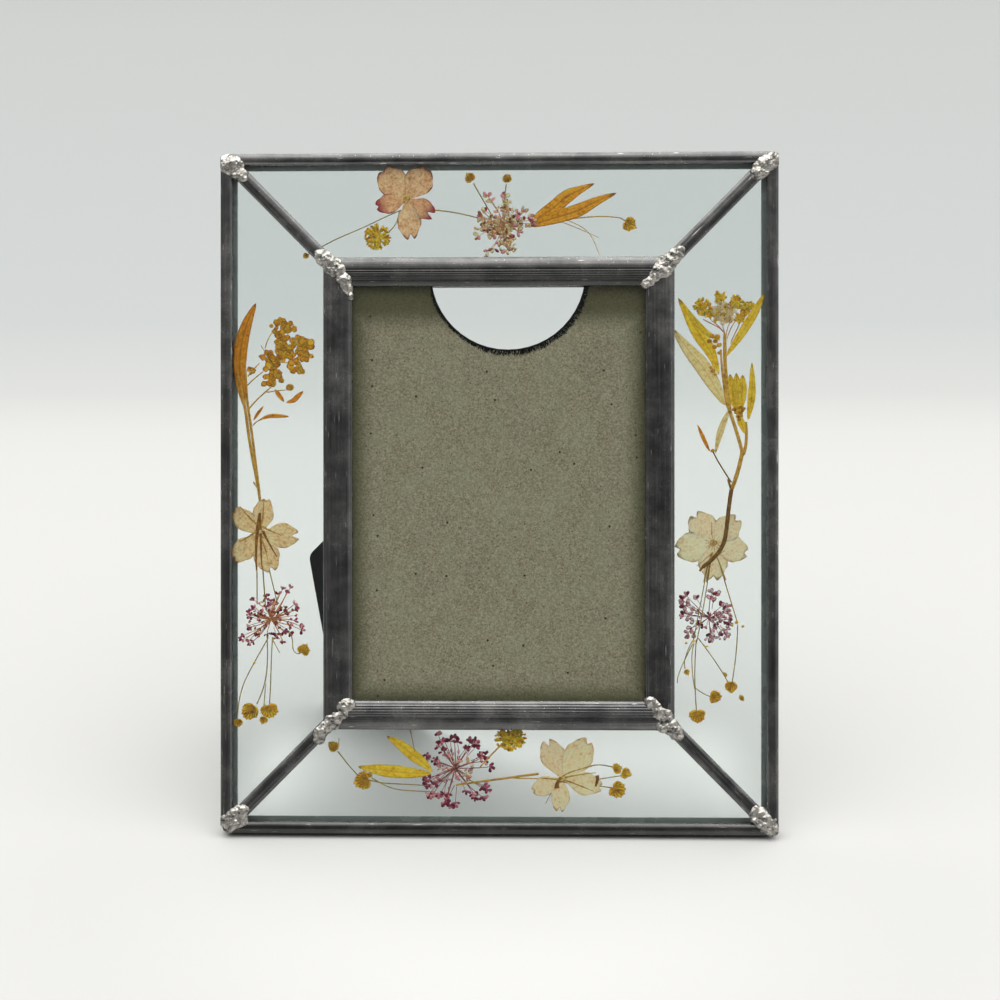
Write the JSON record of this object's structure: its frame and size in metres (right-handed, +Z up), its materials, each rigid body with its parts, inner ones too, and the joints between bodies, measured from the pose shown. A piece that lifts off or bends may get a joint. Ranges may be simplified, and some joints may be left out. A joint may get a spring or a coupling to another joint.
{
  "type": "pressed flower frame",
  "caption": "Leaded-glass picture frame with pressed wildflowers between the border panes, a velvet-backed board and a folding easel leg.",
  "frame": {"origin": "bottom centre of the bounding box, on the surface that the frame stands on", "axes": "+Z up, +X to the viewer's right, -Y towards the viewer; the frame leans back 18 degrees on its easel leg"},
  "size_m": [0.162, 0.1018, 0.1898],
  "materials": {
    "lead_came": "dark grey lead came with a brushed patina, satin",
    "solder": "bright lumpy solder with dark pits",
    "border_glass": "clear sheet glass with a faint cool tint",
    "window_glass": "clear sheet glass",
    "fibreboard": "grey-brown pressed fibreboard, matt",
    "velvet": "black flocked velvet",
    "hinge_steel": "stamped zinc-plated steel",
    "pressed_petal": "dried tan petals, papery",
    "pressed_lace": "dried lace flower, maroon and cream",
    "pressed_leaf": "dried amber leaves and stems",
    "pressed_bud": "dried yellow buds on brown stems"
  },
  "bodies": {
    "frame": {"outer_came_top": "lead_came", "outer_came_right": "lead_came", "outer_came_bottom": "lead_came", "outer_came_left": "lead_came", "inner_came_top": "lead_came", "inner_came_right": "lead_came", "inner_came_bottom": "lead_came", "inner_came_left": "lead_came", "diagonal_came_top_right": "lead_came", "diagonal_came_top_left": "lead_came", "diagonal_came_bottom_left": "lead_came", "diagonal_came_bottom_right": "lead_came", "solder_outer_top_right": "solder", "solder_outer_top_left": "solder", "solder_outer_bottom_left": "solder", "solder_outer_bottom_right": "solder", "solder_inner_top_right": "solder", "solder_inner_top_left": "solder", "solder_inner_bottom_left": "solder", "solder_inner_bottom_right": "solder", "glass_top_front": "border_glass", "glass_top_back": "border_glass", "glass_right_front": "border_glass", "glass_right_back": "border_glass", "glass_bottom_front": "border_glass", "glass_bottom_back": "border_glass", "glass_left_front": "border_glass", "glass_left_back": "border_glass", "window_glass": "window_glass", "backing_board": "fibreboard", "backing_velvet": "velvet", "hinge_board_leaf": "hinge_steel", "hinge_pin": "hinge_steel", "rivet_board_1": "hinge_steel", "rivet_board_2": "hinge_steel", "verbena_top": "pressed_petal", "verbena_left": "pressed_petal", "verbena_right": "pressed_petal", "verbena_bottom": "pressed_petal", "lace_top": "pressed_lace", "lace_left": "pressed_lace", "lace_right": "pressed_lace", "lace_bottom": "pressed_lace", "leaves_top": "pressed_leaf", "leaves_bottom": "pressed_leaf", "sprig_left": "pressed_leaf", "sprig_right": "pressed_leaf", "buds_top_left": "pressed_bud", "buds_top_right": "pressed_bud", "buds_left": "pressed_bud", "buds_right": "pressed_bud", "buds_bottom_left": "pressed_bud", "buds_bottom_right": "pressed_bud", "cluster_bottom": "pressed_bud"},
    "leg": {"easel_leg": "velvet", "hinge_leg_leaf": "hinge_steel", "rivet_leg_1": "hinge_steel", "rivet_leg_2": "hinge_steel"}
  },
  "joints": [
    {"name": "easel_fold", "type": "hinge", "parent": "frame", "child": "leg", "pos_m": [0.0006, -0.01441, 0.08952], "axis": [-0.7071, 0.2185, 0.6725], "range_deg": [0, 43]}
  ]
}
